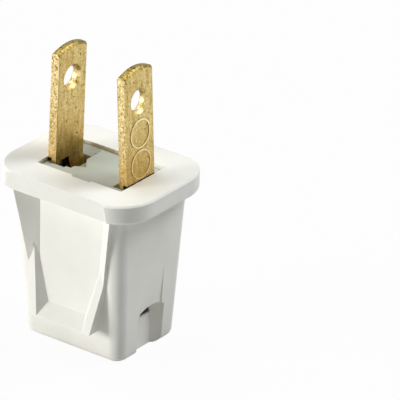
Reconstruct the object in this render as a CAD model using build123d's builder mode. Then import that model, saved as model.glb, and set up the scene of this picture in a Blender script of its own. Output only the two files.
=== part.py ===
from build123d import *
import math
import os

os.makedirs("parts", exist_ok=True)

# Millimetres. X runs from blade to blade, Y across the scoops, Z up along the blades.

# Casing: rim flange
casing_height = 26.8
flange_length = 25.7
flange_width = 20.7
flange_corner = 6.1
flange_thickness = 3.0
flange_top_edge = 0.25
flange_under_edge = 0.7
flat_top_out = 9.8
flat_low_out = 9.3
flat_half_length = 8.2
flat_end_run = 2.0

# Casing: drafted body under the flange
foot_length = 17.6
foot_width = 13.4
foot_edge = 1.3
shoulder_length = 20.0
shoulder_width = 16.6
body_corner = 2.0

# Casing: shield around each finger scoop, measured outward from the middle
shield_top_half = 8.7
shield_low_half = 5.5
shield_root = 5.6
shield_out = 9.4
brim_top_out = 9.1
waist_out = 8.0
waist_z = 12.5
rib_rise = 4.3
ledge_out = 9.5
ledge_z = 5.0

# Casing: floor and sides of each finger scoop
scoop_top_out = 6.45
scoop_lean = 4.1
scoop_top_half = 5.85
scoop_waist_half = 5.35
scoop_waist = 10.3
scoop_end_half = 3.4
scoop_floor_length = 16.9
scoop_root_share = -0.5
scoop_brim_share = 1.15
scoop_reach = 4.0
scoop_overrun = 2.0
rib_slope = 37.0
sill_slope = 49.0

# Casing: hollow for the core, chamber under it and cord hole
window_length = 15.2
window_width = 10.15
window_corner = 0.25
seat_z = 7.8
chamber_length = 12.4
chamber_width = 8.6
chamber_corner = 1.2
floor_thickness = 1.6
cord_hole_length = 7.4
cord_hole_width = 4.4

# Casing: key notch in the window's front edge
key_notch_length = 3.3
key_notch_centre = 0.65
key_notch_depth = 0.42
key_notch_height = 2.4

# Casing: notch with slanted sides at each end, and a ramp above it
notch_near_side = -2.8
notch_far_side = 3.15
notch_floor_x = 7.5
notch_floor_near = -2.0
notch_floor_far = 2.0
notch_height = 7.1
notch_peak_y = 0.6
notch_near_fall = 1.35
notch_far_fall = 0.9
notch_arch_margin = 0.4
ramp_near_side = -2.4
ramp_far_side = 2.7
ramp_top_z = 12.8
ramp_low_z = 5.5
ramp_depth = 0.3
outside = 12.0

# Blades: standard two-pole sizes, both alike
blade_spacing = 12.7
blade_width = 6.35
blade_thickness = 1.5
blade_offset = 0.28
blade_reach = 17.25
blade_shoulder = 16.5
blade_tip_bevel = 0.35
blade_lean = 2.3
lean_centre = 9.0
blade_hole = 3.1
blade_hole_bevel = 0.4
blade_hole_height = 12.1

# Blades: cranked leg, foot bar and spike
crank_start = 1.0
crank_end = 4.0
leg_centre = 5.6
pivot_z = 9.6
bar_radius = 0.9
lance_width = 2.05
lance_centre = 0.85
lance_top = 0.5
lance_bottom = 6.9
spike_height = 1.5
spike_width = 1.6
spike_point_x = 2.3

# Core
core_clearance = 0.12
core_drop = 0.55
core_corner = 0.2
slot_inner = 4.3
slot_clearance = 0.15
bar_clearance = 0.1
lip_inner = 4.95
lip_thickness = 1.3
channel_length = 5.8
channel_width = 3.0
channel_top_z = 22.4
slit_width = 2.3
slit_low_z = 18.0
slit_high_z = 22.0
slit_run = 0.5
pocket_inner = 3.4
pocket_front = -2.6
pocket_back = 4.2
pocket_depth = 1.2
vee_point_x = 1.9
vee_point_y = -1.0
vee_front_y = -1.85
vee_back_y = 1.0

# Places that follow from the sizes above
flange_z = casing_height - flange_thickness
core_top = casing_height - core_drop
core_length = window_length - 2 * core_clearance
core_width = window_width - 2 * core_clearance
key_clear_length = key_notch_length - 2 * core_clearance
half_thickness = blade_thickness / 2
lean = math.radians(blade_lean)
rim_centre = blade_spacing / 2 + lean_centre * math.tan(lean)
foot_draft = (shoulder_length - foot_length) / 2 / flange_z


def wall_x(height: float) -> float:
    """Distance of the end wall from the middle at one height."""
    return foot_length / 2 + foot_draft * height


def along_blade(rise: float, across: float) -> tuple[float, float]:
    """X and Z of a point on the leaning blade, from its middle at the rim."""
    x = rim_centre - rise * math.sin(lean) + across * math.cos(lean)
    z = casing_height + rise * math.cos(lean) + across * math.sin(lean)
    return x, z


# Scoop: the hollow of a finger grip on the -Y side, first its upper part with twisted sides
scoop_angle = math.radians(scoop_lean)
scoop_plane = Plane(
    origin=(0, -scoop_top_out, flange_z),
    x_dir=(1, 0, 0),
    z_dir=(0, -math.cos(scoop_angle), math.sin(scoop_angle)),
)
waist_fall = flange_z - waist_z
floor_taper = (scoop_top_half - scoop_waist_half) / scoop_waist
shield_taper = (shield_top_half - shield_low_half) / (flange_z - ledge_z)
brim_taper = (brim_top_out - waist_out) / waist_fall


def scoop_section(fall: float) -> list[tuple[float, float]]:
    """Corners of the scoop's cross-section, at one fall below the flange."""
    floor_half = scoop_top_half - floor_taper * fall
    floor_out = scoop_top_out + math.tan(scoop_angle) * fall
    side_run = shield_top_half - shield_taper * fall - floor_half
    side_rise = brim_top_out - brim_taper * fall - floor_out
    root_half = floor_half + scoop_root_share * side_run
    root_out = floor_out + scoop_root_share * side_rise
    brim_half = floor_half + scoop_brim_share * side_run
    brim_out = floor_out + scoop_brim_share * side_rise
    return [
        (-root_half, -root_out),
        (root_half, -root_out),
        (brim_half, -brim_out),
        (brim_half, -outside),
        (-brim_half, -outside),
        (-brim_half, -brim_out),
    ]


with BuildPart() as scoop:
    with BuildSketch(Plane.XY.offset(flange_z + scoop_overrun)):
        Polygon(*scoop_section(-scoop_overrun), align=None)
    with BuildSketch(Plane.XY.offset(waist_z)):
        Polygon(*scoop_section(waist_fall), align=None)
    loft(ruled=True)
    with BuildSketch(scoop_plane):
        Rectangle(2 * flange_length, 2 * casing_height)
    extrude(amount=outside, mode=Mode.INTERSECT)

# The scoop's lower part, between two ribs and down to a sill
gap_taper = (scoop_waist_half - scoop_end_half) / (scoop_floor_length - scoop_waist)
gap_high_half = scoop_waist_half + gap_taper * (scoop_waist + scoop_overrun)
gap_low_half = scoop_end_half - gap_taper * scoop_overrun
gap_outline = [
    (-gap_high_half, scoop_overrun),
    (gap_high_half, scoop_overrun),
    (gap_low_half, -scoop_floor_length - scoop_overrun),
    (-gap_low_half, -scoop_floor_length - scoop_overrun),
]
sill_outline = [
    (-shield_top_half, scoop_overrun),
    (shield_top_half, scoop_overrun),
    (shield_top_half, -scoop_floor_length),
    (-shield_top_half, -scoop_floor_length),
]
with BuildPart() as rib_gap:
    with BuildSketch(scoop_plane):
        Polygon(*gap_outline, align=None)
    extrude(amount=scoop_reach, taper=-rib_slope)
    with BuildSketch(scoop_plane):
        Polygon(*sill_outline, align=None)
    extrude(amount=scoop_reach, taper=-sill_slope, mode=Mode.INTERSECT)

with BuildPart() as low_scoop:
    add(rib_gap.part)
    split(bisect_by=Plane.XY.offset(waist_z), keep=Keep.BOTTOM)

# Shield: the raised frame around the scoop, with a rib on each side of its lower part
rib_top_out = waist_out - rib_rise * (ledge_out - waist_out) / (waist_z - ledge_z)
shield_rim_half = shield_top_half + shield_taper * flange_thickness
shield_outline = [
    (-shield_rim_half, casing_height),
    (-shield_low_half, ledge_z),
    (shield_low_half, ledge_z),
    (shield_rim_half, casing_height),
]
shield_profile = [
    (-shield_root, casing_height - flange_thickness / 2),
    (-shield_out, casing_height - flange_thickness / 2),
    (-shield_out, waist_z),
    (-shield_root, waist_z),
]
rib_profile = [
    (-shield_root, waist_z + rib_rise),
    (-rib_top_out, waist_z + rib_rise),
    (-ledge_out, ledge_z),
    (-shield_root, ledge_z),
]
with BuildPart() as shield:
    with BuildSketch(Plane.YZ):
        Polygon(*shield_profile, align=None)
    extrude(amount=flange_length / 2, both=True)
    with BuildSketch(Plane.XZ):
        Polygon(*shield_outline, align=None)
    extrude(amount=flange_width, mode=Mode.INTERSECT)
    add(scoop.part, mode=Mode.SUBTRACT)

with BuildPart() as ribs:
    with BuildSketch(Plane.YZ):
        Polygon(*rib_profile, align=None)
    extrude(amount=flange_length / 2, both=True)
    with BuildSketch(Plane.XZ):
        Polygon(*shield_outline, align=None)
    extrude(amount=flange_width, mode=Mode.INTERSECT)
    add(rib_gap.part, mode=Mode.SUBTRACT)

# End notch: the hollow with its arched top, on the +X side
notch_wall = wall_x(notch_height / 2)
near_slope = (notch_near_side - notch_floor_near) / (notch_wall - notch_floor_x)
far_slope = (notch_far_side - notch_floor_far) / (notch_wall - notch_floor_x)
notch_outline = [
    (outside, notch_floor_near + near_slope * (outside - notch_floor_x)),
    (notch_floor_x, notch_floor_near),
    (notch_floor_x, notch_floor_far),
    (outside, notch_floor_far + far_slope * (outside - notch_floor_x)),
]
arch_near = notch_near_side - notch_arch_margin
arch_far = notch_far_side + notch_arch_margin
arch_near_z = notch_height - notch_near_fall
arch_far_z = notch_height - notch_far_fall
ramp_profile = [
    (wall_x(ramp_top_z), ramp_top_z),
    (wall_x(ramp_low_z) - ramp_depth, ramp_low_z),
    (outside, ramp_low_z),
    (outside, ramp_top_z),
]
with BuildPart() as end_notch:
    with BuildSketch(Plane.XY):
        Polygon(*notch_outline, align=None)
    extrude(amount=casing_height)
    with BuildSketch(Plane.YZ):
        with BuildLine():
            Polyline((arch_near, arch_near_z), (arch_near, 0), (arch_far, 0), (arch_far, arch_far_z))
            ThreePointArc(
                (arch_far, arch_far_z),
                (notch_peak_y, notch_height),
                (arch_near, arch_near_z),
            )
        make_face()
    extrude(amount=outside, mode=Mode.INTERSECT)

with BuildPart() as end_ramp:
    with BuildSketch(Plane.XZ.offset(-ramp_far_side)):
        Polygon(*ramp_profile, align=None)
    extrude(amount=ramp_far_side - ramp_near_side)

# Flange: rounded all round, then cut flat with a draft along both long sides
flat_draft = math.degrees(math.atan((flat_top_out - flat_low_out) / flange_thickness))
flat_outline = [
    (-flat_half_length, -flat_low_out),
    (-flat_half_length - flat_end_run, -flat_low_out - flat_end_run),
    (flat_half_length + flat_end_run, -flat_low_out - flat_end_run),
    (flat_half_length, -flat_low_out),
]
with BuildPart() as flange:
    with BuildSketch(Plane.XY.offset(flange_z)):
        RectangleRounded(flange_length, flange_width, flange_corner)
    extrude(amount=flange_thickness)
    fillet(flange.edges().group_by(Axis.Z)[0], radius=flange_under_edge)
    chamfer(flange.edges().group_by(Axis.Z)[-1], length=flange_top_edge)
    with BuildSketch(Plane.XY.offset(flange_z)):
        Polygon(*flat_outline, align=None)
        Polygon(*flat_outline, rotation=180, align=None)
    extrude(amount=flange_thickness, taper=flat_draft, mode=Mode.SUBTRACT)

# Casing: the body drafted both ways, with all that is added to it and cut from it
long_profile = [
    (-foot_length / 2, 0),
    (foot_length / 2, 0),
    (shoulder_length / 2, flange_z),
    (-shoulder_length / 2, flange_z),
]
broad_profile = [
    (-foot_width / 2, 0),
    (foot_width / 2, 0),
    (shoulder_width / 2, flange_z),
    (-shoulder_width / 2, flange_z),
]
with BuildPart() as casing:
    with BuildSketch(Plane.XZ):
        Polygon(*long_profile, align=None)
    extrude(amount=shoulder_width, both=True)
    with BuildSketch(Plane.YZ):
        Polygon(*broad_profile, align=None)
    extrude(amount=shoulder_length, both=True, mode=Mode.INTERSECT)
    fillet(casing.edges().filter_by(Plane.XY, reverse=True), radius=body_corner)
    fillet(casing.edges().group_by(Axis.Z)[0], radius=foot_edge)
    add(scoop.part, mode=Mode.SUBTRACT)
    add(scoop.part.rotate(Axis.Z, 180), mode=Mode.SUBTRACT)
    add(low_scoop.part, mode=Mode.SUBTRACT)
    add(low_scoop.part.rotate(Axis.Z, 180), mode=Mode.SUBTRACT)
    add(shield.part)
    add(shield.part.rotate(Axis.Z, 180))
    add(ribs.part)
    add(ribs.part.rotate(Axis.Z, 180))
    add(end_notch.part, mode=Mode.SUBTRACT)
    add(end_notch.part.rotate(Axis.Z, 180), mode=Mode.SUBTRACT)
    add(end_ramp.part, mode=Mode.SUBTRACT)
    add(end_ramp.part.rotate(Axis.Z, 180), mode=Mode.SUBTRACT)
    add(flange.part)
    with BuildSketch(Plane.XY.offset(casing_height)):
        RectangleRounded(window_length, window_width, window_corner)
    extrude(amount=seat_z - casing_height, mode=Mode.SUBTRACT)
    with BuildSketch(Plane.XY.offset(seat_z)):
        RectangleRounded(chamber_length, chamber_width, chamber_corner)
    extrude(amount=floor_thickness - seat_z, mode=Mode.SUBTRACT)
    with BuildSketch(Plane.XY):
        SlotOverall(cord_hole_length, cord_hole_width)
    extrude(amount=floor_thickness, mode=Mode.SUBTRACT)
    with BuildSketch(Plane.XY.offset(casing_height)):
        with Locations((key_notch_centre, -window_width / 2)):
            Rectangle(key_notch_length, 2 * key_notch_depth)
    extrude(amount=-key_notch_height, mode=Mode.SUBTRACT)
casing.part.label = "casing"
export_step(casing.part, "parts/casing.step")

# Right blade, leaning inward as it stands in the core
face_plane = Plane(
    origin=(rim_centre, -blade_offset, casing_height),
    x_dir=(0, 1, 0),
    z_dir=(math.cos(lean), 0, math.sin(lean)),
)
side_plane = Plane.XZ.offset(blade_offset)
leg_inner = leg_centre - half_thickness
leg_outer = leg_centre + half_thickness
crank_z = casing_height - crank_end
spike_low_z = casing_height - lance_bottom - spike_height / 2
leg_profile = [
    along_blade(-crank_start, half_thickness),
    (leg_outer, crank_z),
    (leg_outer, pivot_z),
    (leg_inner, pivot_z),
    (leg_inner, crank_z),
    along_blade(-crank_start, -half_thickness),
]
spike_profile = [
    (leg_centre, spike_low_z),
    (leg_centre, spike_low_z + spike_height),
    (leg_inner, spike_low_z + spike_height),
    (spike_point_x, spike_low_z + spike_height / 2),
    (leg_inner, spike_low_z),
]
with BuildPart() as right_blade:
    with BuildSketch(face_plane):
        with BuildLine():
            Polyline(
                (blade_width / 2, blade_shoulder),
                (blade_width / 2, -crank_start),
                (-blade_width / 2, -crank_start),
                (-blade_width / 2, blade_shoulder),
            )
            ThreePointArc(
                (-blade_width / 2, blade_shoulder),
                (0, blade_reach),
                (blade_width / 2, blade_shoulder),
            )
        make_face()
    extrude(amount=half_thickness, both=True)
    chamfer(right_blade.edges().filter_by(GeomType.CIRCLE), length=blade_tip_bevel)
    with BuildSketch(face_plane):
        with Locations((0, blade_hole_height)):
            Circle(blade_hole / 2)
    extrude(amount=blade_thickness, both=True, mode=Mode.SUBTRACT)
    hole_rims = right_blade.edges().filter_by(GeomType.CIRCLE)
    chamfer(hole_rims.filter_by(lambda rim: rim.radius < blade_hole), length=blade_hole_bevel)
    with BuildSketch(side_plane):
        Polygon(*leg_profile, align=None)
    extrude(amount=blade_width / 2, both=True)
    with BuildSketch(side_plane):
        with Locations((leg_centre, pivot_z)):
            Circle(bar_radius)
    extrude(amount=blade_width / 2, both=True)
    with BuildSketch(Plane.YZ):
        with Locations((lance_centre, casing_height - (lance_top + lance_bottom) / 2)):
            Rectangle(lance_width, lance_bottom - lance_top)
    extrude(amount=outside, mode=Mode.SUBTRACT)
    with BuildSketch(Plane.XZ.offset(-lance_centre)):
        Polygon(*spike_profile, align=None)
    extrude(amount=spike_width / 2, both=True)
right_blade.part.label = "right_blade"
export_step(right_blade.part, "parts/right_blade.step")

# Left blade: the same stamping, turned half round
with BuildPart() as left_blade:
    add(right_blade.part.rotate(Axis.Z, 180))
left_blade.part.label = "left_blade"
export_step(left_blade.part, "parts/left_blade.step")

# Core
slot_length = core_length / 2 - slot_inner
slot_width = blade_width + 2 * slot_clearance
slot_middle = slot_inner + slot_length / 2
lip_length = lip_inner - slot_inner
slit_length = slot_inner - spike_point_x + slit_run
vee_notch = [
    (-pocket_inner, vee_front_y),
    (-vee_point_x, vee_point_y),
    (-pocket_inner, vee_back_y),
]
with BuildPart() as core:
    with BuildSketch(Plane.XY.offset(seat_z)):
        RectangleRounded(core_length, core_width, core_corner)
    extrude(amount=core_top - seat_z)
    with BuildSketch(Plane.XY.offset(core_top)):
        with Locations((slot_middle, -blade_offset), (-slot_middle, blade_offset)):
            Rectangle(slot_length, slot_width)
    extrude(amount=pivot_z - core_top, mode=Mode.SUBTRACT)
    with BuildSketch(Plane.XZ.offset(blade_offset)):
        with Locations((leg_centre, pivot_z)):
            Circle(bar_radius + bar_clearance)
    extrude(amount=slot_width / 2, both=True, mode=Mode.SUBTRACT)
    with BuildSketch(Plane.XZ.offset(-blade_offset)):
        with Locations((-leg_centre, pivot_z)):
            Circle(bar_radius + bar_clearance)
    extrude(amount=slot_width / 2, both=True, mode=Mode.SUBTRACT)
    with BuildSketch(Plane.XY.offset(core_top)):
        with Locations((slot_inner + lip_length / 2, -blade_offset)):
            Rectangle(lip_length, slot_width)
    extrude(amount=-lip_thickness)
    with BuildSketch(Plane.XY.offset(seat_z)):
        SlotOverall(channel_length, channel_width)
    extrude(amount=channel_top_z - seat_z, mode=Mode.SUBTRACT)
    with BuildSketch(Plane.XY.offset(slit_low_z)):
        with Locations(
            (slot_inner - slit_length / 2, lance_centre),
            (slit_length / 2 - slot_inner, -lance_centre),
        ):
            Rectangle(slit_length, slit_width)
    extrude(amount=slit_high_z - slit_low_z, mode=Mode.SUBTRACT)
    with BuildSketch(Plane.XY.offset(core_top)):
        with Locations((-(slot_inner + pocket_inner) / 2, (pocket_front + pocket_back) / 2)):
            Rectangle(slot_inner - pocket_inner, pocket_back - pocket_front)
        Polygon(*vee_notch, align=None)
    extrude(amount=-pocket_depth, mode=Mode.SUBTRACT)
    with BuildSketch(Plane.XY.offset(core_top)):
        with Locations((key_notch_centre, -core_width / 2)):
            Rectangle(key_clear_length, 2 * key_notch_depth)
    extrude(amount=core_clearance + core_drop - key_notch_height)
core.part.label = "core"
export_step(core.part, "parts/core.step")
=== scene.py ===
import logging
import math
from collections.abc import Callable
from dataclasses import dataclass, field
from enum import Enum

import bpy
from mathutils import Matrix, Vector


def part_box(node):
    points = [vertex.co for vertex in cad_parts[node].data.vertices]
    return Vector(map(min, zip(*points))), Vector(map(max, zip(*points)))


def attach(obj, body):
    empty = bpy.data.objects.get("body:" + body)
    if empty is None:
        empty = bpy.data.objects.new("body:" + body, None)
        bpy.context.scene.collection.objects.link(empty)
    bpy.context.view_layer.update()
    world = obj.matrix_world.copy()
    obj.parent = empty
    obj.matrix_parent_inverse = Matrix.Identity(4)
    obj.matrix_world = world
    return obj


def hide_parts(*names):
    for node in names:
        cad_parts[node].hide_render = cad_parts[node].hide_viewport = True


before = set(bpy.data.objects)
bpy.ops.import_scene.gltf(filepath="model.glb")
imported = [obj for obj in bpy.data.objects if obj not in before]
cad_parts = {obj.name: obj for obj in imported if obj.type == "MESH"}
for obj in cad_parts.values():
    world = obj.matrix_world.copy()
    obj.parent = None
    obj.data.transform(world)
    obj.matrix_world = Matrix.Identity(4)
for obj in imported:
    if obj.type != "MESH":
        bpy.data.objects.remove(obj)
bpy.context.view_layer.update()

log = logging.getLogger("plug")
MM = 0.001
RIM_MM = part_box("casing")[1][2] / MM
WHITE = (1.0, 1.0, 1.0, 1.0)
BLACK = (0.0, 0.0, 0.0, 1.0)
DAYLIGHT = "F6FAFF"
RING_HEIGHTS_MM = (7.2, 2.5)
# Socket numbers of the Mix node, whose sockets share their names.
MIX_FACTOR = 0
FLOAT_A = 2
FLOAT_B = 3
COLOUR_A = 6
COLOUR_B = 7
COLOUR_OUT = 2
Colour = tuple[float, float, float, float]


class Body(Enum):
    """The bodies that pieces ride on."""

    CASING = "casing"
    CORE = "core"
    LEFT_BLADE = "left_blade"
    RIGHT_BLADE = "right_blade"


class Slot(Enum):
    """The record's material slots."""

    CASING = "casing_plastic"
    CORE = "core_plastic"
    BLADE = "blade_brass"


class Element(Enum):
    """The kinds of mesh element that can be selected, as Blender names them."""

    FACE = "FACE"
    EDGE = "EDGE"
    POINT = "VERT"


class BladeFinish(Enum):
    """A blade's finishes, numbered as its material slots are."""

    ROLLED = 0
    SHEARED = 1
    RUBBED = 2
    DULL = 3
    TORN = 4


def linear(code: str) -> Colour:
    """Turns an sRGB hex colour into a linear one.

    Args:
        code: Six hex digits, such as "F2F0E8".

    Returns:
        Linear red, green and blue, and an alpha of 1.
    """
    shares = [int(code[i : i + 2], 16) / 255 for i in (0, 2, 4)]
    light = [s / 12.92 if s <= 0.04045 else ((s + 0.055) / 1.055) ** 2.4 for s in shares]
    return (light[0], light[1], light[2], 1.0)


def add_node(
    tree: bpy.types.NodeTree,
    kind: str,
    settings: dict | None = None,
    links: dict | None = None,
    stops: tuple[tuple[float, Colour], ...] = (),
) -> bpy.types.Node:
    """Adds one node with its settings and its incoming links.

    Args:
        tree: The node tree to add to.
        kind: The node's type name.
        settings: Attribute names, or input names and numbers, to their values.
        links: Input names or numbers to the output sockets that feed them.
        stops: Places from 0 to 1 with their colours, on a node with a colour ramp.

    Returns:
        The new node.
    """
    node = tree.nodes.new(kind)
    for key, value in (settings or {}).items():
        if isinstance(key, str) and hasattr(node, key):
            setattr(node, key, value)
        else:
            node.inputs[key].default_value = value
    for key, socket in (links or {}).items():
        tree.links.new(socket, node.inputs[key])
    for number, (place, colour) in enumerate(stops):
        elements = node.color_ramp.elements
        element = elements[number] if number < len(elements) else elements.new(place)
        element.position = place
        element.color = colour
    return node


def per_metre(grain_mm: float) -> float:
    """Turns the size of one grain into a texture's scale.

    Args:
        grain_mm: The size of one grain.

    Returns:
        Grains to the metre.
    """
    return 1 / (grain_mm * MM)


def fresh_material(name: str) -> tuple[bpy.types.Material, bpy.types.NodeTree]:
    """Makes an empty node material.

    Args:
        name: The material's name.

    Returns:
        The material and its cleared node tree.
    """
    material = bpy.data.materials.new(name)
    material.use_nodes = True
    material.node_tree.nodes.clear()
    return material, material.node_tree


@dataclass(frozen=True)
class MouldedPlastic:
    """A satin thermoplastic: faint sink mottle, draw marks along the mould, fine grain, soft gloss."""

    name: str
    colour: str
    shade: str
    mottle_mm: float = 5.0
    mottle_span: tuple[float, float] = (0.35, 0.62)
    draw_mm: float = 0.9
    draw_stretch: float = 9.0
    draw_depth_mm: float = 0.008
    draw_detail: float = 2.0
    draw_strength: float = 0.5
    # Real moulding grain is finer, and is drawn this coarse to show.
    grain_mm: float = 0.30
    grain_depth_mm: float = 0.006
    grain_strength: float = 0.6
    noise_detail: float = 3.0
    roughness: tuple[float, float] = (0.42, 0.58)
    ior: float = 1.5

    def make(self) -> bpy.types.Material:
        """Builds the material.

        Returns:
            The finished material.
        """
        material, tree = fresh_material(self.name)
        where = add_node(tree, "ShaderNodeTexCoord").outputs["Object"]
        mottle = add_node(
            tree,
            "ShaderNodeTexNoise",
            {"Scale": per_metre(self.mottle_mm), "Detail": self.noise_detail},
            {"Vector": where},
        )
        colour = add_node(
            tree,
            "ShaderNodeValToRGB",
            links={"Fac": mottle.outputs["Fac"]},
            stops=tuple(zip(self.mottle_span, (linear(self.shade), linear(self.colour)))),
        )
        drawn = add_node(
            tree, "ShaderNodeMapping", {"Scale": (1.0, 1.0, 1.0 / self.draw_stretch)}, {"Vector": where}
        )
        marks = add_node(
            tree,
            "ShaderNodeTexNoise",
            {"Scale": per_metre(self.draw_mm), "Detail": self.draw_detail},
            {"Vector": drawn.outputs["Vector"]},
        )
        gloss = add_node(
            tree,
            "ShaderNodeMapRange",
            {"To Min": self.roughness[0], "To Max": self.roughness[1]},
            {"Value": marks.outputs["Fac"]},
        )
        low = add_node(
            tree,
            "ShaderNodeBump",
            {"Strength": self.draw_strength, "Distance": self.draw_depth_mm * MM},
            {"Height": marks.outputs["Fac"]},
        )
        grain = add_node(
            tree,
            "ShaderNodeTexNoise",
            {"Scale": per_metre(self.grain_mm), "Detail": self.noise_detail},
            {"Vector": where},
        )
        fine = add_node(
            tree,
            "ShaderNodeBump",
            {"Strength": self.grain_strength, "Distance": self.grain_depth_mm * MM},
            {"Height": grain.outputs["Fac"], "Normal": low.outputs["Normal"]},
        )
        shader = add_node(
            tree,
            "ShaderNodeBsdfPrincipled",
            {"IOR": self.ior},
            {
                "Base Color": colour.outputs["Color"],
                "Roughness": gloss.outputs["Result"],
                "Normal": fine.outputs["Normal"],
            },
        )
        add_node(tree, "ShaderNodeOutputMaterial", links={"Surface": shader.outputs["BSDF"]})
        return material


@dataclass(frozen=True)
class StampedBrass:
    """Brass strip, rolled and punched: streaks, speckle, pits, darker and warmer towards the rim, and a
    line of painted shade by the rim.

    Real speckle and pits are finer, and are drawn as coarse as they need to be to show.
    """

    name: str
    bright: str
    middle: str
    dark: str
    pit: str
    streak_mm: float
    streak_stretch: float
    speckle_mm: float
    speckle_share: float
    pit_mm: float
    pit_level: float
    bump_mm: float
    roughness: tuple[float, float]
    streak_detail: float = 4.0
    streak_break: float = 0.6
    speckle_detail: float = 2.0
    speckle_break: float = 0.7
    tone_span: tuple[float, float, float] = (0.36, 0.5, 0.64)
    pit_detail: float = 1.0
    pit_fade: float = 0.05
    pit_strength: float = 0.6
    bump_strength: float = 0.7
    # Mixed in towards the rim: the blade grows darker and warmer towards the bottom.
    root_tone: str = "A67C28"
    root_tone_share: float = 0.45
    root_tone_reach_mm: float = 10.0
    # Painted shade: a dark line on the outer faces just below the rim, where the blade meets the slot.
    crevice_shade: str = "1E160A"
    crevice_shade_aside_mm: float = 6.7
    crevice_shade_drop_mm: float = 0.15
    crevice_shade_reach_mm: float = 0.25

    def make(self) -> bpy.types.Material:
        """Builds the material.

        Returns:
            The finished material.
        """
        material, tree = fresh_material(self.name)
        where = add_node(tree, "ShaderNodeTexCoord").outputs["Object"]
        drawn = add_node(
            tree, "ShaderNodeMapping", {"Scale": (1.0, 1.0, 1.0 / self.streak_stretch)}, {"Vector": where}
        )
        streak = add_node(
            tree,
            "ShaderNodeTexNoise",
            {
                "Scale": per_metre(self.streak_mm),
                "Detail": self.streak_detail,
                "Roughness": self.streak_break,
            },
            {"Vector": drawn.outputs["Vector"]},
        )
        speckle = add_node(
            tree,
            "ShaderNodeTexNoise",
            {
                "Scale": per_metre(self.speckle_mm),
                "Detail": self.speckle_detail,
                "Roughness": self.speckle_break,
            },
            {"Vector": where},
        )
        blend = add_node(
            tree,
            "ShaderNodeMix",
            {"data_type": "FLOAT", MIX_FACTOR: self.speckle_share},
            {FLOAT_A: streak.outputs["Fac"], FLOAT_B: speckle.outputs["Fac"]},
        )
        metal = add_node(
            tree,
            "ShaderNodeValToRGB",
            links={"Fac": blend.outputs[0]},
            stops=tuple(zip(self.tone_span, map(linear, (self.dark, self.middle, self.bright)))),
        )
        pits = add_node(
            tree,
            "ShaderNodeTexNoise",
            {"Scale": per_metre(self.pit_mm), "Detail": self.pit_detail},
            {"Vector": where},
        )
        sunk = add_node(
            tree,
            "ShaderNodeValToRGB",
            links={"Fac": pits.outputs["Fac"]},
            stops=((self.pit_level, WHITE), (self.pit_level + self.pit_fade, BLACK)),
        )
        pitted = add_node(
            tree,
            "ShaderNodeMix",
            {"data_type": "RGBA", COLOUR_B: linear(self.pit)},
            {MIX_FACTOR: sunk.outputs["Color"], COLOUR_A: metal.outputs["Color"]},
        )
        place = add_node(tree, "ShaderNodeSeparateXYZ", links={0: where}).outputs
        # Darker and warmer towards the rim, fading out higher up.
        near_root = add_node(
            tree,
            "ShaderNodeMapRange",
            {
                "interpolation_type": "SMOOTHSTEP",
                "From Min": RIM_MM * MM,
                "From Max": (RIM_MM + self.root_tone_reach_mm) * MM,
                "To Min": self.root_tone_share,
                "To Max": 0.0,
            },
            {"Value": place["Z"]},
        )
        root_toned = add_node(
            tree,
            "ShaderNodeMix",
            {"data_type": "RGBA", COLOUR_B: linear(self.root_tone)},
            {MIX_FACTOR: near_root.outputs["Result"], COLOUR_A: pitted.outputs[COLOUR_OUT]},
        )
        # Painted shade of the crevice between blade and rim, on the outer faces only.
        aside = add_node(tree, "ShaderNodeMath", {"operation": "ABSOLUTE"}, {0: place["X"]})
        outer = add_node(
            tree,
            "ShaderNodeMath",
            {"operation": "GREATER_THAN", 1: self.crevice_shade_aside_mm * MM},
            {0: aside.outputs[0]},
        )
        by_rim = add_node(
            tree,
            "ShaderNodeMath",
            {
                "operation": "COMPARE",
                1: (RIM_MM - self.crevice_shade_drop_mm) * MM,
                2: self.crevice_shade_reach_mm * MM,
            },
            {0: place["Z"]},
        )
        crevice_shade_mask = add_node(
            tree,
            "ShaderNodeMath",
            {"operation": "MULTIPLY"},
            {0: outer.outputs[0], 1: by_rim.outputs[0]},
        )
        colour = add_node(
            tree,
            "ShaderNodeMix",
            {"data_type": "RGBA", COLOUR_B: linear(self.crevice_shade)},
            {MIX_FACTOR: crevice_shade_mask.outputs[0], COLOUR_A: root_toned.outputs[COLOUR_OUT]},
        ).outputs[COLOUR_OUT]
        gloss = add_node(
            tree,
            "ShaderNodeMapRange",
            {"To Min": self.roughness[0], "To Max": self.roughness[1]},
            {"Value": streak.outputs["Fac"]},
        )
        low = add_node(
            tree,
            "ShaderNodeBump",
            {"Strength": self.bump_strength, "Distance": self.bump_mm * MM},
            {"Height": blend.outputs[0]},
        )
        fine = add_node(
            tree,
            "ShaderNodeBump",
            {"Strength": self.pit_strength, "Distance": self.bump_mm * MM},
            {"Height": pits.outputs["Fac"], "Normal": low.outputs["Normal"]},
        )
        shader = add_node(
            tree,
            "ShaderNodeBsdfPrincipled",
            {"Metallic": 1.0},
            {"Base Color": colour, "Roughness": gloss.outputs["Result"], "Normal": fine.outputs["Normal"]},
        )
        add_node(tree, "ShaderNodeOutputMaterial", links={"Surface": shader.outputs["BSDF"]})
        return material


# Warm white moulding, slightly yellowed as such plugs are.
CASING_FINISH = MouldedPlastic("moulded_white_thermoplastic", "F0EEE5", "ECEAE0")
# A dark copy of the same moulding: painted shade in the gap at the top of each notch, where the inside is
# unlit.
NOTCH_SHADE_FINISH = MouldedPlastic("painted_shade_thermoplastic", "3A3831", "2A2822")
# Grey-green moulding with a little less gloss.
CORE_FINISH = MouldedPlastic("moulded_grey_thermoplastic", "BABEB2", "B2B7AA", roughness=(0.5, 0.65))
# Rolled faces: soft streaks along the blade, a fine speckle and a few dark pits.
ROLLED_FINISH = StampedBrass(
    name="rolled_brass",
    bright="E8D498",
    middle="CFB674",
    dark="AA8D49",
    pit="7A6130",
    streak_mm=0.7,
    streak_stretch=4.0,
    speckle_mm=0.34,
    speckle_share=0.5,
    pit_mm=0.55,
    pit_level=0.27,
    bump_mm=0.02,
    roughness=(0.30, 0.46),
)
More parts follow.
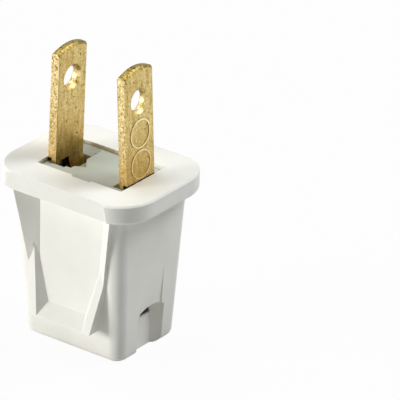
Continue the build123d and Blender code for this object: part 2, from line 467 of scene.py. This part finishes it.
# Punched edges: torn grain that catches the light in speckles.
SHEARED_FINISH = StampedBrass(
    name="sheared_brass",
    bright="ECDCAE",
    middle="CEB780",
    dark="9E8850",
    pit="86703C",
    streak_mm=0.5,
    streak_stretch=1.6,
    speckle_mm=0.30,
    speckle_share=0.7,
    pit_mm=0.34,
    pit_level=0.33,
    bump_mm=0.04,
    roughness=(0.34, 0.55),
)
# Painted highlight on the long corners: a thin pale line.
PAINTED_HIGHLIGHT_FINISH = StampedBrass(
    name="painted_highlight_brass",
    bright="FFF3CC",
    middle="FBE7B0",
    dark="E2C47A",
    pit="9C8040",
    streak_mm=1.2,
    streak_stretch=3.0,
    speckle_mm=0.30,
    speckle_share=0.3,
    pit_mm=0.4,
    pit_level=0.24,
    bump_mm=0.01,
    roughness=(0.22, 0.34),
)
# Sheared tip: painted shade, a dark olive colour on its upward faces.
PAINTED_SHADE_FINISH = StampedBrass(
    name="painted_shade_brass",
    bright="A08C52",
    middle="86733E",
    dark="605024",
    pit="463614",
    streak_mm=0.6,
    streak_stretch=1.6,
    speckle_mm=0.30,
    speckle_share=0.6,
    pit_mm=0.34,
    pit_level=0.34,
    bump_mm=0.03,
    roughness=(0.36, 0.55),
)
# Walls of the lanced window: torn metal, painted brown-black as the shade inside the window.
TORN_SHADE_FINISH = StampedBrass(
    name="window_shade_brass",
    bright="5E4526",
    middle="402B16",
    dark="25180C",
    pit="1A1008",
    streak_mm=0.5,
    streak_stretch=1.6,
    speckle_mm=0.30,
    speckle_share=0.6,
    pit_mm=0.34,
    pit_level=0.34,
    bump_mm=0.03,
    roughness=(0.5, 0.7),
    root_tone_share=0.0,
)


def deselect() -> None:
    """Leaves edit mode and deselects everything."""
    if bpy.context.object and bpy.context.object.mode != "OBJECT":
        bpy.ops.object.mode_set(mode="OBJECT")
    bpy.ops.object.select_all(action="DESELECT")


def pick(piece: bpy.types.Object) -> None:
    """Makes one piece the only selected and active one.

    Args:
        piece: The piece to work on.
    """
    deselect()
    piece.select_set(True)
    bpy.context.view_layer.objects.active = piece


@dataclass
class MadePiece:
    """A piece made from a solid, with its edges broken as the real tool leaves them."""

    node: str
    body: Body
    slot: Slot
    edge_mm: float
    segments: int = 3
    sharp_deg: float = 28.0
    merge_mm: float = 0.002
    flat_deg: float = 0.6
    flat_weight: int = 100
    piece: bpy.types.Object | None = field(default=None, init=False)

    def build(self, *materials: bpy.types.Material) -> bpy.types.Object:
        """Copies the solid, rounds its sharp edges and dresses it.

        Args:
            materials: The piece's finishes, the first one all over.

        Returns:
            The new piece.
        """
        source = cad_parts[self.node]
        self.piece = bpy.data.objects.new(f"{self.node}_dressed", source.data.copy())
        bpy.context.scene.collection.objects.link(self.piece)
        self.piece.data.materials.clear()
        for material in materials:
            self.piece.data.materials.append(material)
        self.merge_flats()
        self.shape()
        bevel = self.piece.modifiers.new("broken_edges", "BEVEL")
        bevel.width = self.edge_mm * MM
        bevel.segments = self.segments
        bevel.limit_method = "ANGLE"
        bevel.angle_limit = math.radians(self.sharp_deg)
        bpy.ops.object.modifier_apply(modifier=bevel.name)
        self.finish()
        bpy.ops.object.shade_smooth_by_angle(angle=math.radians(self.sharp_deg))
        flat = self.piece.modifiers.new("flat_faces", "WEIGHTED_NORMAL")
        flat.keep_sharp = True
        flat.weight = self.flat_weight
        bpy.ops.object.modifier_apply(modifier=flat.name)
        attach(self.piece, self.body.value)
        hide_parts(self.node)
        log.info("%s: %d faces", self.piece.name, len(self.piece.data.polygons))
        return self.piece

    def merge_flats(self) -> None:
        """Merges doubled points, and dissolves the edges inside flat faces."""
        pick(self.piece)
        bpy.ops.object.mode_set(mode="EDIT")
        bpy.ops.mesh.select_all(action="SELECT")
        bpy.ops.mesh.remove_doubles(threshold=self.merge_mm * MM)
        bpy.ops.mesh.dissolve_limited(angle_limit=math.radians(self.flat_deg))
        bpy.ops.object.mode_set(mode="OBJECT")

    def shape(self) -> None:
        """Shapes the piece before its edges are broken; a plain moulding needs nothing here."""

    def finish(self) -> None:
        """Gives faces their own finish; a piece of one finish needs nothing here."""

    def select(self, kind: Element, wanted: Callable[[bpy.types.bpy_struct], bool]) -> None:
        """Selects some of the piece's faces, edges or points, and stays in edit mode.

        Args:
            kind: The kind of element.
            wanted: Says whether an element is selected.
        """
        pick(self.piece)
        bpy.ops.object.mode_set(mode="EDIT")
        bpy.ops.mesh.select_mode(type=kind.value)
        bpy.ops.mesh.select_all(action="DESELECT")
        bpy.ops.object.mode_set(mode="OBJECT")
        mesh = self.piece.data
        elements = {Element.FACE: mesh.polygons, Element.EDGE: mesh.edges, Element.POINT: mesh.vertices}
        for element in elements[kind]:
            element.select = wanted(element)
        bpy.ops.object.mode_set(mode="EDIT")


@dataclass
class Casing(MadePiece):
    """The moulded casing, whose flange has a flat that runs out at one end, with a sunk gap in painted
    shade in each notch.
    """

    edge_mm: float = 0.11
    notch_floor_mm: float = 7.5
    near_mm: float = 0.1
    gap_low_mm: float = 4.9
    gap_high_mm: float = 7.0
    gap_depth_mm: float = 0.3
    facing: float = 0.95
    # The flat's top and low edges, by Y and Z.
    flat_top_mm: tuple[float, float] = (-9.8, RIM_MM)
    flat_low_mm: tuple[float, float] = (-9.3, 23.8)
    flat_end_mm: float = -7.9

    def flat_axes(self) -> tuple[Vector, Matrix]:
        """Finds the flat on the flange's front.

        Returns:
            A point on the flat's top edge, and columns that point along it, up it and out of it.
        """
        top, low = (Vector((0.0, *place)) * MM for place in (self.flat_top_mm, self.flat_low_mm))
        along = Vector((1.0, 0.0, 0.0))
        rise = (top - low).normalized()
        return top, Matrix((along, rise, along.cross(rise))).transposed()

    def is_ahead(self, spot: Vector) -> bool:
        """Says whether a point is in front of the flat, at the end where the flat runs out.

        Args:
            spot: The point.

        Returns:
            True on the flange, past the flat's end and ahead of its plane.
        """
        top, axes = self.flat_axes()
        out = axes.col[2]
        on_flange = spot.z > (self.flat_low_mm[1] - self.near_mm) * MM
        past_end = spot.x < self.flat_end_mm * MM
        return on_flange and past_end and out.dot(spot - top) > 0.0

    def shape(self) -> None:
        """Presses the flange's rounded end back to the flat, at the front and half a turn on."""
        top, axes = self.flat_axes()
        for turn in (0.0, math.pi):
            half = Matrix.Rotation(turn, 3, "Z")
            self.select(Element.POINT, lambda point: self.is_ahead(half.inverted() @ point.co))
            bpy.ops.transform.resize(
                value=(1.0, 1.0, 0.0),
                orient_matrix=half @ axes,
                center_override=half @ top,
            )
            bpy.ops.object.mode_set(mode="OBJECT")
        self.merge_flats()

    def on_floor(self, polygon: bpy.types.MeshPolygon) -> bool:
        """Says whether a face is on a notch's floor.

        Args:
            polygon: The face.

        Returns:
            True on either notch's floor.
        """
        off = abs(abs(polygon.center.x) - self.notch_floor_mm * MM)
        low = polygon.center.z < self.gap_high_mm * MM
        return low and off < self.near_mm * MM and abs(polygon.normal.x) > self.facing

    def in_gap(self, polygon: bpy.types.MeshPolygon) -> bool:
        """Says whether a face is on a notch's floor and above the gap's sill.

        Args:
            polygon: The face.

        Returns:
            True inside either gap.
        """
        return self.on_floor(polygon) and polygon.center.z > self.gap_low_mm * MM

    def finish(self) -> None:
        """Cuts the gap's sill across each notch's floor, sinks the part above it and gives that part a
        dark colour: painted shade.
        """
        self.select(Element.FACE, self.on_floor)
        bpy.ops.mesh.bisect(plane_co=(0.0, 0.0, self.gap_low_mm * MM), plane_no=(0.0, 0.0, 1.0))
        bpy.ops.object.mode_set(mode="OBJECT")
        self.select(Element.FACE, self.in_gap)
        bpy.ops.mesh.extrude_region_shrink_fatten(
            TRANSFORM_OT_shrink_fatten={"value": -self.gap_depth_mm * MM}
        )
        bpy.ops.object.mode_set(mode="OBJECT")
        # Faces of the sunk gap take the second finish, the painted shade.
        for polygon in self.piece.data.polygons:
            polygon.material_index = int(polygon.select)


@dataclass
class Core(MadePiece):
    """The grey core, whose top falls away behind the left blade."""

    edge_mm: float = 0.06
    fall_inner_mm: float = -3.6
    fall_front_mm: float = 3.4
    fall_deg: float = 34.0
    clear_mm: float = 0.2

    def shape(self) -> None:
        """Cuts the sloped fall with a wedge, from the core's back edge down to the blade's slot."""
        low, high = (Vector(corner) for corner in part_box(self.node))
        front = self.fall_front_mm * MM
        start = Vector((low.x, front, high.z - (high.y - front)))
        end = Vector((self.fall_inner_mm * MM, high.y, high.z))
        start.x -= self.clear_mm * MM
        end.yz += Vector((self.clear_mm, self.clear_mm)) * MM
        deselect()
        bpy.ops.mesh.primitive_cube_add(size=1.0, location=(start + end) / 2, scale=end - start)
        wedge = bpy.context.object
        bpy.ops.object.mode_set(mode="EDIT")
        bpy.ops.mesh.select_all(action="SELECT")
        slope = math.radians(self.fall_deg)
        bpy.ops.mesh.bisect(
            plane_co=(0.0, high.y, high.z),
            plane_no=(0.0, -math.sin(slope), math.cos(slope)),
            use_fill=True,
            clear_inner=True,
        )
        bpy.ops.object.mode_set(mode="OBJECT")
        pick(self.piece)
        cut = self.piece.modifiers.new("fall", "BOOLEAN")
        cut.object = wedge
        bpy.ops.object.modifier_apply(modifier=cut.name)
        bpy.data.objects.remove(wedge)
        self.merge_flats()


@dataclass
class Blade(MadePiece):
    """A brass blade: rolled faces, punched edges, a tip in painted shade, corners with a painted highlight
    and a torn window in painted shade.
    """

    edge_mm: float = 0.16
    corner: BladeFinish = BladeFinish.RUBBED
    corner_mm: float = 0.2
    corner_length_mm: float = 12.0
    corner_upright: float = 0.2
    face_side: float = 0.97
    edge_side: float = 0.3
    tip_mm: float = 41.0
    tip_rise: float = 0.3
    torn_inside_mm: float = 0.8
    torn_across: float = 0.9
    sides_m: tuple[float, float] = field(default=(0.0, 0.0), init=False)

    def __post_init__(self) -> None:
        """Notes where the blade's two narrow edges are."""
        low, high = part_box(self.node)
        self.sides_m = (low[1], high[1])

    def is_corner(self, edge: bpy.types.MeshEdge) -> bool:
        """Says whether an edge is one of the four long corners.

        Args:
            edge: The edge.

        Returns:
            True on a long corner.
        """
        low, high = (self.piece.data.vertices[v].co for v in edge.vertices)
        run = high - low
        return run.length > self.corner_length_mm * MM and abs(run.y) < self.merge_mm * MM

    def shape(self) -> None:
        """Rounds the four long corners more than the other edges."""
        self.select(Element.EDGE, self.is_corner)
        bpy.ops.mesh.bevel(offset=self.corner_mm * MM, segments=self.segments)
        bpy.ops.object.mode_set(mode="OBJECT")

    def is_torn(self, polygon: bpy.types.MeshPolygon) -> bool:
        """Says whether a face is a wall of the lanced window.

        Args:
            polygon: The face.

        Returns:
            True on a wall that looks across the blade, well inside its edges and below the rim.
        """
        near, far = self.sides_m
        inside = self.torn_inside_mm * MM
        across = abs(polygon.normal.y) > self.torn_across and polygon.center.z < RIM_MM * MM
        return across and near + inside < polygon.center.y < far - inside

    def finish_of(self, polygon: bpy.types.MeshPolygon) -> BladeFinish:
        """Chooses a face's finish from its place and the way it points.

        Args:
            polygon: The face.

        Returns:
            The finish.
        """
        side = polygon.normal.x
        # Walls of the lanced window take the painted shade.
        if self.is_torn(polygon):
            return BladeFinish.TORN
        if abs(side) > self.face_side:
            return BladeFinish.ROLLED
        # The tip's upward faces take the painted shade.
        if polygon.center.z > self.tip_mm * MM and polygon.normal.z > self.tip_rise:
            return BladeFinish.DULL
        if abs(side) < self.edge_side:
            return BladeFinish.SHEARED
        # Long corners take the blade's corner finish: the painted highlight on the left blade.
        return self.corner if abs(polygon.normal.z) < self.corner_upright else BladeFinish.ROLLED

    def finish(self) -> None:
        """Gives every face its finish."""
        for polygon in self.piece.data.polygons:
            polygon.material_index = self.finish_of(polygon).value


@dataclass
class CoinedRing:
    """A plain raised ring struck on a blade's outer face."""

    name: str
    node: str
    body: Body
    height_mm: float
    radius_mm: float = 2.25
    line_mm: float = 0.28
    rise_mm: float = 0.1
    top_share: float = 0.9
    sink_mm: float = 0.03
    round_mm: float = 0.05
    round_segments: int = 2
    steps: int = 72

    def build(self, *materials: bpy.types.Material) -> bpy.types.Object:
        """Draws the ring, raises it and lays it on the blade's outer face.

        Args:
            materials: The finish of the ring's top, and that of its flanks.

        Returns:
            The new piece.
        """
        deselect()
        bpy.ops.mesh.primitive_circle_add(
            vertices=self.steps, radius=self.radius_mm * MM, fill_type="NGON"
        )
        ring = bpy.context.object
        ring.name = self.name
        bpy.ops.object.mode_set(mode="EDIT")
        bpy.ops.mesh.select_mode(type="FACE")
        bpy.ops.mesh.select_all(action="SELECT")
        bpy.ops.mesh.inset(thickness=self.line_mm * MM, depth=0.0)
        bpy.ops.mesh.delete(type="FACE")
        bpy.ops.mesh.select_all(action="SELECT")
        bpy.ops.mesh.extrude_region_move(
            TRANSFORM_OT_translate={"value": (0.0, 0.0, (self.rise_mm + self.sink_mm) * MM)}
        )
        bpy.ops.mesh.bevel(offset=self.round_mm * MM, segments=self.round_segments)
        bpy.ops.mesh.select_all(action="SELECT")
        bpy.ops.mesh.normals_make_consistent(inside=False)
        bpy.ops.object.mode_set(mode="OBJECT")
        for material in materials:
            ring.data.materials.append(material)
        for polygon in ring.data.polygons:
            polygon.material_index = int(polygon.normal.z < self.top_share)
        ring.data.transform(self.place())
        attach(ring, self.body.value)
        log.info("%s: %d faces", ring.name, len(ring.data.polygons))
        return ring

    def place(self) -> Matrix:
        """Finds the spot on the blade's outer face.

        Returns:
            The turn and the shift from a flat ring at the origin.
        """
        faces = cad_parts[self.node].data.polygons
        shown = [polygon for polygon in faces if polygon.center.z > RIM_MM * MM]
        face = max(shown, key=lambda polygon: polygon.normal.x * polygon.area)
        out = face.normal.normalized()
        across = Vector((0.0, 1.0, 0.0))
        along = out.cross(across)
        low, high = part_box(self.node)
        spot = Vector((0.0, (low[1] + high[1]) / 2, (RIM_MM + self.height_mm) * MM))
        spot.x = (face.center.dot(out) - spot.z * out.z) / out.x
        turn = Matrix((across, along, out)).transposed().to_4x4()
        return Matrix.Translation(spot - out * self.sink_mm * MM) @ turn


@dataclass
class PhotoCamera:
    """The camera, where the fit to the view puts it."""

    azimuth_deg: float = 36.872
    elevation_deg: float = 26.260
    roll_deg: float = 0.996
    distance_mm: float = 709.0
    lens_mm: float = 449.0
    sensor_mm: float = 36.0
    aside_mm: float = 14.061
    below_mm: float = 5.015
    nearest_m: float = 0.01
    farthest_m: float = 20.0

    def build(self) -> bpy.types.Object:
        """Makes the camera and gives it to the scene.

        Returns:
            The camera object.
        """
        angles = (self.azimuth_deg, self.elevation_deg, self.roll_deg)
        az, el, roll = (math.radians(angle) for angle in angles)
        back = Vector((math.cos(el) * math.sin(az), -math.cos(el) * math.cos(az), math.sin(el)))
        level = Vector((math.cos(az), math.sin(az), 0.0))
        upright = back.cross(level)
        right = math.cos(roll) * level + math.sin(roll) * upright
        up = -math.sin(roll) * level + math.cos(roll) * upright
        place = Vector((0.0, 0.0, RIM_MM)) + self.aside_mm * right - self.below_mm * up
        place += self.distance_mm * back
        data = bpy.data.cameras.new("photo_camera")
        data.lens = self.lens_mm
        data.sensor_width = self.sensor_mm
        data.clip_start = self.nearest_m
        data.clip_end = self.farthest_m
        camera = bpy.data.objects.new("photo_camera", data)
        bpy.context.scene.collection.objects.link(camera)
        turn = Matrix((right, up, back)).transposed().to_4x4()
        camera.matrix_world = Matrix.Translation(place * MM) @ turn
        bpy.context.scene.camera = camera
        return camera


@dataclass(frozen=True)
class Lamp:
    """A soft round lamp, given by the way to it and the light that it sheds at the object."""

    name: str
    toward: tuple[float, float, float]
    level: float
    size_m: float = 0.5
    distance_m: float = 0.9
    colour: str = "FFFFFF"

    def hang(self, aim: Vector) -> None:
        """Hangs the lamp and turns it to the object.

        Args:
            aim: The point that it faces.
        """
        data = bpy.data.lights.new(self.name, "AREA")
        data.shape = "DISK"
        data.size = self.size_m
        data.color = linear(self.colour)[:3]
        # Straight ahead of a round lamp, the light is its energy over the square of pi times the distance.
        data.energy = self.level * (math.pi * self.distance_m) ** 2
        lamp = bpy.data.objects.new(self.name, data)
        bpy.context.scene.collection.objects.link(lamp)
        toward = Vector(self.toward).normalized()
        lamp.location = aim + toward * self.distance_m
        lamp.rotation_mode = "QUATERNION"
        lamp.rotation_quaternion = (-toward).to_track_quat("-Z", "Y")


@dataclass
class Studio:
    """A pale floor, three large soft lamps and an even surround."""

    floor_m: float = 6.0
    floor_drop_mm: float = 0.02
    floor_colour: str = "D2D2D0"
    floor_white: float = 0.96
    surround: float = 0.02
    aim_mm: float = 18.0
    lamps: tuple[Lamp, ...] = (
        Lamp("front_lamp", (-0.62, -0.76, 0.17), 0.88, 0.4),
        Lamp("back_lamp", (0.45, 0.46, 0.76), 0.69, 0.5, colour=DAYLIGHT),
        Lamp("top_lamp", (-0.34, 0.0, 0.94), 0.53, 0.6, colour=DAYLIGHT),
    )

    def seen_rays(self, tree: bpy.types.NodeTree) -> bpy.types.NodeSocket:
        """Adds the test for rays that show the surround rather than light by it.

        Args:
            tree: The node tree to add to.

        Returns:
            A socket that is 1 on camera, glossy and transmission rays.
        """
        path = add_node(tree, "ShaderNodeLightPath").outputs
        direct = add_node(
            tree,
            "ShaderNodeMath",
            {"operation": "MAXIMUM"},
            {0: path["Is Camera Ray"], 1: path["Is Glossy Ray"]},
        )
        seen = add_node(
            tree,
            "ShaderNodeMath",
            {"operation": "MAXIMUM"},
            {0: direct.outputs[0], 1: path["Is Transmission Ray"]},
        )
        return seen.outputs[0]

    def lay_floor(self) -> None:
        """Makes the floor, white to the eye but still holding the shadow."""
        deselect()
        place = (0.0, 0.0, -self.floor_drop_mm * MM)
        bpy.ops.mesh.primitive_plane_add(size=self.floor_m, location=place)
        floor = bpy.context.object
        floor.name = "floor"
        material, tree = fresh_material("pale_paper")
        paper = add_node(tree, "ShaderNodeBsdfDiffuse", {"Color": linear(self.floor_colour)})
        white = add_node(tree, "ShaderNodeEmission", {"Strength": 1.0})
        share = add_node(
            tree,
            "ShaderNodeMath",
            {"operation": "MULTIPLY", 1: self.floor_white},
            {0: self.seen_rays(tree)},
        )
        mixed = add_node(
            tree,
            "ShaderNodeMixShader",
            links={0: share.outputs[0], 1: paper.outputs[0], 2: white.outputs[0]},
        )
        add_node(tree, "ShaderNodeOutputMaterial", links={"Surface": mixed.outputs[0]})
        floor.data.materials.append(material)

    def light(self) -> None:
        """Makes the surround and the lamps."""
        world = bpy.data.worlds.new("soft_surround")
        bpy.context.scene.world = world
        world.use_nodes = True
        tree = world.node_tree
        tree.nodes.clear()
        strength = add_node(
            tree,
            "ShaderNodeMapRange",
            {"To Min": self.surround, "To Max": 1.0},
            {"Value": self.seen_rays(tree)},
        )
        sky = add_node(
            tree,
            "ShaderNodeBackground",
            {"Color": WHITE},
            {"Strength": strength.outputs["Result"]},
        )
        add_node(tree, "ShaderNodeOutputWorld", links={"Surface": sky.outputs[0]})
        for lamp in self.lamps:
            lamp.hang(Vector((0.0, 0.0, self.aim_mm * MM)))


def main() -> None:
    """Builds and dresses every piece, then the studio and the camera."""
    logging.basicConfig(level=logging.INFO, format="%(name)s: %(message)s")
    bpy.context.scene.view_settings.view_transform = "Standard"
    white, notch_shade, grey = CASING_FINISH.make(), NOTCH_SHADE_FINISH.make(), CORE_FINISH.make()
    finishes = (ROLLED_FINISH, SHEARED_FINISH, PAINTED_HIGHLIGHT_FINISH, PAINTED_SHADE_FINISH, TORN_SHADE_FINISH)
    brass = [finish.make() for finish in finishes]
    Casing("casing", Body.CASING, Slot.CASING).build(white, notch_shade)
    Core("core", Body.CORE, Slot.CORE).build(grey)
    Blade("left_blade", Body.LEFT_BLADE, Slot.BLADE).build(*brass)
    Blade("right_blade", Body.RIGHT_BLADE, Slot.BLADE, corner=BladeFinish.ROLLED).build(*brass)
    # Ring tops take the painted highlight, and their flanks the painted shade.
    ring_finishes = brass[BladeFinish.RUBBED.value], brass[BladeFinish.DULL.value]
    for number, height_mm in enumerate(RING_HEIGHTS_MM, start=1):
        ring = CoinedRing(f"coined_ring_{number}", "right_blade", Body.RIGHT_BLADE, height_mm)
        ring.build(*ring_finishes)
    studio = Studio()
    studio.lay_floor()
    studio.light()
    PhotoCamera().build()


if __name__ == "__main__":
    main()
